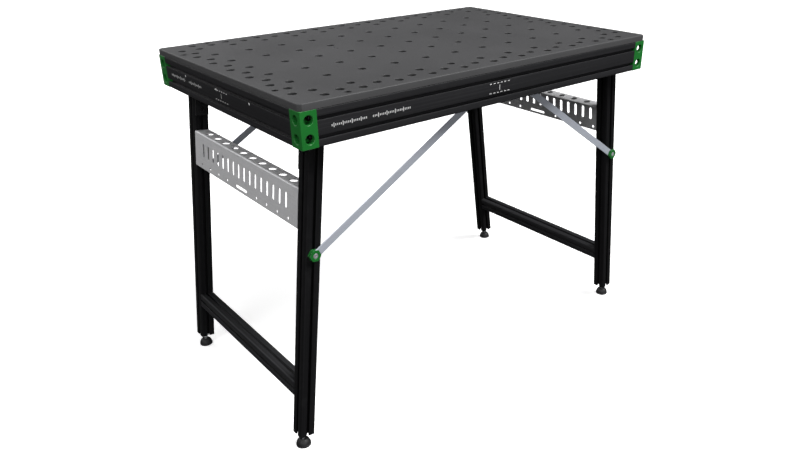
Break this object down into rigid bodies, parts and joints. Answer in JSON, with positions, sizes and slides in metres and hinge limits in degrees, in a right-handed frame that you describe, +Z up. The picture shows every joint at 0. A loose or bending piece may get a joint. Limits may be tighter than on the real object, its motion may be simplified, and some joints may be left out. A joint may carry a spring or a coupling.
{
  "type": "router table",
  "caption": "Folding workshop router table and workstation: perforated top on a slotted aluminium frame, with braced splayed legs, tool channels and levelling feet.",
  "frame": {"origin": "on the floor, under the middle of the table", "axes": "+X along the long side, +Y towards the back, +Z up"},
  "size_m": [1.232, 0.74, 0.89],
  "materials": {
    "panel": "through-dyed charcoal fibreboard with a matt sealed surface",
    "profile": "black anodised extrusion, satin",
    "corner": "green satin powder coat",
    "green_boss": "green anodised, satin",
    "black_fastener": "black oxide steel",
    "bright_fastener": "zinc plated steel",
    "black_steel": "black powder coat",
    "channel_sheet": "grey sheet metal, fine brushed grain",
    "brace_bar": "clear anodised flat bar",
    "foot_base": "dark moulded nylon",
    "rubber": "matt black rubber"
  },
  "bodies": {
    "table": {"top_panel": "panel", "panel_screws": "black_fastener", "front_rail": "profile", "back_rail": "profile", "left_rail": "profile", "right_rail": "profile", "front_left_corner": "corner", "front_right_corner": "corner", "back_left_corner": "corner", "back_right_corner": "corner", "corner_bolts": "black_fastener", "pivot_plates": "black_steel", "pivot_plate_bolts": "black_fastener", "pivot_pins": "bright_fastener", "leg_stops": "rubber"},
    "left_leg_frame": {"left_front_leg": "profile", "left_back_leg": "profile", "left_knuckles": "black_steel", "left_knuckle_bolts": "black_fastener", "left_cross_rail": "profile", "left_cross_bolts": "black_fastener", "left_tool_channel": "channel_sheet", "left_channel_bolts": "bright_fastener", "left_foot_nuts": "bright_fastener", "left_brace_bosses": "green_boss", "left_brace_bolts": "bright_fastener"},
    "right_leg_frame": {"right_front_leg": "profile", "right_back_leg": "profile", "right_knuckles": "black_steel", "right_knuckle_bolts": "black_fastener", "right_cross_rail": "profile", "right_cross_bolts": "black_fastener", "right_tool_channel": "channel_sheet", "right_channel_bolts": "bright_fastener", "right_foot_nuts": "bright_fastener", "right_brace_bosses": "green_boss", "right_brace_bolts": "bright_fastener"},
    "left_front_brace": {"left_front_brace": "brace_bar", "left_front_tip_bolt": "bright_fastener"},
    "left_front_slider": {"left_front_slider": "black_steel"},
    "left_front_foot_stud": {"left_front_foot_stud": "bright_fastener"},
    "left_front_foot_base": {"left_front_foot_base": "foot_base"},
    "left_back_brace": {"left_back_brace": "brace_bar", "left_back_tip_bolt": "bright_fastener"},
    "left_back_slider": {"left_back_slider": "black_steel"},
    "left_back_foot_stud": {"left_back_foot_stud": "bright_fastener"},
    "left_back_foot_base": {"left_back_foot_base": "foot_base"},
    "right_front_brace": {"right_front_brace": "brace_bar", "right_front_tip_bolt": "bright_fastener"},
    "right_front_slider": {"right_front_slider": "black_steel"},
    "right_front_foot_stud": {"right_front_foot_stud": "bright_fastener"},
    "right_front_foot_base": {"right_front_foot_base": "foot_base"},
    "right_back_brace": {"right_back_brace": "brace_bar", "right_back_tip_bolt": "bright_fastener"},
    "right_back_slider": {"right_back_slider": "black_steel"},
    "right_back_foot_stud": {"right_back_foot_stud": "bright_fastener"},
    "right_back_foot_base": {"right_back_foot_base": "foot_base"}
  },
  "joints": [
    {"name": "left_leg_fold", "type": "hinge", "parent": "table", "child": "left_leg_frame", "pos_m": [-0.49452, 0, 0.81], "axis": [0, -1, 0], "range_deg": [0, 97.3]},
    {"name": "right_leg_fold", "type": "hinge", "parent": "table", "child": "right_leg_frame", "pos_m": [0.48914, 0, 0.852], "axis": [0, 1, 0], "range_deg": [0, 97.3]},
    {"name": "left_front_brace_turn", "type": "hinge", "parent": "left_leg_frame", "child": "left_front_brace", "pos_m": [-0.53039, -0.32, 0.53], "axis": [0, 1, 0], "range_deg": [0, 126.44]},
    {"name": "left_front_slider_travel", "type": "slide", "parent": "table", "child": "left_front_slider", "axis": [1, 0, 0], "range_m": [0, 0.39303]},
    {"name": "left_back_brace_turn", "type": "hinge", "parent": "left_leg_frame", "child": "left_back_brace", "pos_m": [-0.53039, 0.32, 0.53], "axis": [0, 1, 0], "range_deg": [0, 126.44]},
    {"name": "left_back_slider_travel", "type": "slide", "parent": "table", "child": "left_back_slider", "axis": [1, 0, 0], "range_m": [0, 0.39303]},
    {"name": "right_front_brace_turn", "type": "hinge", "parent": "right_leg_frame", "child": "right_front_brace", "pos_m": [0.53039, -0.32, 0.53], "axis": [0, -1, 0], "range_deg": [0, 131.33]},
    {"name": "right_front_slider_travel", "type": "slide", "parent": "table", "child": "right_front_slider", "axis": [-1, 0, 0], "range_m": [0, 0.46565]},
    {"name": "right_back_brace_turn", "type": "hinge", "parent": "right_leg_frame", "child": "right_back_brace", "pos_m": [0.53039, 0.32, 0.53], "axis": [0, -1, 0], "range_deg": [0, 131.33]},
    {"name": "right_back_slider_travel", "type": "slide", "parent": "table", "child": "right_back_slider", "axis": [-1, 0, 0], "range_m": [0, 0.46565]},
    {"name": "left_front_foot_level", "type": "slide", "parent": "left_leg_frame", "child": "left_front_foot_stud", "axis": [-0.1271, 0, -0.9919], "range_m": [-0.004, 0.02]},
    {"name": "left_front_foot_swivel", "type": "hinge", "parent": "left_front_foot_stud", "child": "left_front_foot_base", "pos_m": [-0.597, -0.298, 0.01], "axis": [0, 1, 0], "range_deg": [-8, 8]},
    {"name": "left_back_foot_level", "type": "slide", "parent": "left_leg_frame", "child": "left_back_foot_stud", "axis": [-0.1271, 0, -0.9919], "range_m": [-0.004, 0.02]},
    {"name": "left_back_foot_swivel", "type": "hinge", "parent": "left_back_foot_stud", "child": "left_back_foot_base", "pos_m": [-0.597, 0.298, 0.01], "axis": [0, 1, 0], "range_deg": [-8, 8]},
    {"name": "right_front_foot_level", "type": "slide", "parent": "right_leg_frame", "child": "right_front_foot_stud", "axis": [0.1271, 0, -0.9919], "range_m": [-0.004, 0.02]},
    {"name": "right_front_foot_swivel", "type": "hinge", "parent": "right_front_foot_stud", "child": "right_front_foot_base", "pos_m": [0.597, -0.298, 0.01], "axis": [0, 1, 0], "range_deg": [-8, 8]},
    {"name": "right_back_foot_level", "type": "slide", "parent": "right_leg_frame", "child": "right_back_foot_stud", "axis": [0.1271, 0, -0.9919], "range_m": [-0.004, 0.02]},
    {"name": "right_back_foot_swivel", "type": "hinge", "parent": "right_back_foot_stud", "child": "right_back_foot_base", "pos_m": [0.597, 0.298, 0.01], "axis": [0, 1, 0], "range_deg": [-8, 8]}
  ],
  "couplings": [
    {"joint": "left_front_brace_turn", "follows": "left_leg_fold", "ratio": 1.2995},
    {"joint": "left_front_slider_travel", "follows": "left_leg_fold", "m_per_rad": 0.23144},
    {"joint": "left_back_brace_turn", "follows": "left_leg_fold", "ratio": 1.2995},
    {"joint": "left_back_slider_travel", "follows": "left_leg_fold", "m_per_rad": 0.23144},
    {"joint": "right_front_brace_turn", "follows": "right_leg_fold", "ratio": 1.3497},
    {"joint": "right_front_slider_travel", "follows": "right_leg_fold", "m_per_rad": 0.2742},
    {"joint": "right_back_brace_turn", "follows": "right_leg_fold", "ratio": 1.3497},
    {"joint": "right_back_slider_travel", "follows": "right_leg_fold", "m_per_rad": 0.2742}
  ]
}
